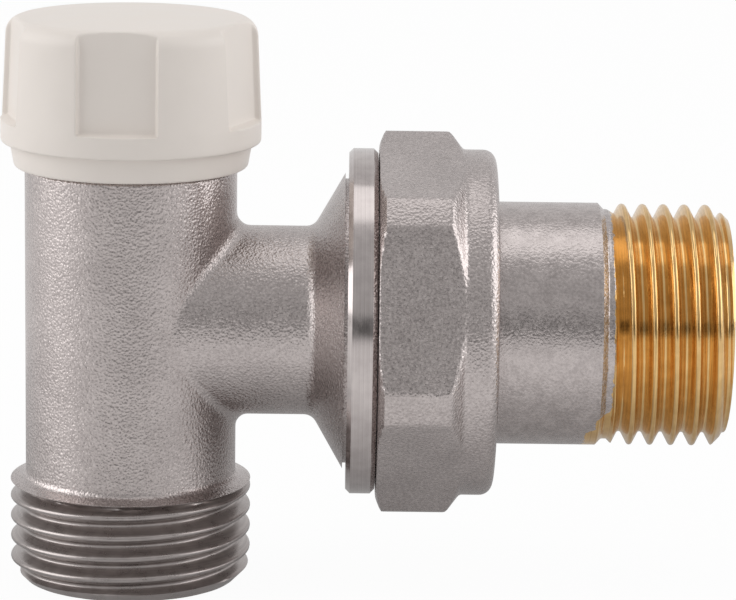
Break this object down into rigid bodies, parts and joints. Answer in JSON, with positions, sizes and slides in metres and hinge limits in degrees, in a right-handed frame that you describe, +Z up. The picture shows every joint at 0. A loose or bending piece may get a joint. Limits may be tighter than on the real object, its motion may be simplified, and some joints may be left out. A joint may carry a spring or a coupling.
{
  "type": "manual angle lockshield radiator valve",
  "caption": "Angle lockshield radiator valve: plated body with a pipe thread below, a screw-on cap over its regulating spindle and a hexagon union with a threaded brass tail.",
  "frame": {"origin": "centre of the pipe connection's end face, at the foot of the barrel", "axes": "+Z up the barrel towards the cap, +X along the side branch towards the radiator"},
  "size_m": [0.0628, 0.0326, 0.0496],
  "materials": {
    "body_plating": "shot-blasted forging, nickel plated",
    "nut_plating": "shot-blasted forging, nickel plated",
    "tail_brass": "turned, thread bare, neck nickel plated",
    "turned_brass": "turned",
    "cap_plastic": "moulded, satin",
    "seal_rubber": "moulded"
  },
  "bodies": {
    "valve_body": {"valve_body": "body_plating", "bonnet": "turned_brass", "bonnet_o_ring": "seal_rubber", "stem_o_ring_lower": "seal_rubber", "stem_o_ring_upper": "seal_rubber"},
    "obturator": {"obturator": "turned_brass", "seat_washer": "seal_rubber", "washer_screw": "turned_brass"},
    "spindle": {"spindle": "turned_brass"},
    "cap_gasket": {"cap_gasket": "seal_rubber"},
    "protective_cap": {"protective_cap": "cap_plastic"},
    "tail_o_ring": {"tail_o_ring": "seal_rubber"},
    "union_nut": {"union_nut": "nut_plating"},
    "tail_piece": {"tail_piece": "tail_brass"}
  },
  "joints": [
    {"name": "obturator_lift", "type": "slide", "parent": "valve_body", "child": "obturator", "axis": [0, 0, 1], "range_m": [-0.002, 0.002]},
    {"name": "spindle_turn", "type": "hinge", "parent": "obturator", "child": "spindle", "pos_m": [0, 0, 0.036], "axis": [0, 0, 1], "range_deg": [-720, 720]},
    {"name": "cap_lift", "type": "slide", "parent": "valve_body", "child": "cap_gasket", "axis": [0, 0, 1], "range_m": [0, 0.00802]},
    {"name": "cap_turn", "type": "hinge", "parent": "cap_gasket", "child": "protective_cap", "pos_m": [0, 0, 0.043], "axis": [0, 0, 1], "range_deg": [0, 2160]},
    {"name": "union_draw", "type": "slide", "parent": "valve_body", "child": "tail_o_ring", "axis": [1, 0, 0], "range_m": [0, 0.00816]},
    {"name": "nut_turn", "type": "hinge", "parent": "tail_o_ring", "child": "union_nut", "pos_m": [0.0264, 0, 0.0229], "axis": [1, 0, 0], "range_deg": [0, 1620]},
    {"name": "tail_swivel", "type": "hinge", "parent": "tail_o_ring", "child": "tail_piece", "pos_m": [0.0375, 0, 0.0229], "axis": [1, 0, 0], "continuous": true}
  ],
  "couplings": [
    {"joint": "spindle_turn", "follows": "obturator_lift", "rad_per_m": 6283.2},
    {"joint": "cap_turn", "follows": "cap_lift", "rad_per_m": 4699.5},
    {"joint": "nut_turn", "follows": "union_draw", "rad_per_m": 3463.7}
  ]
}
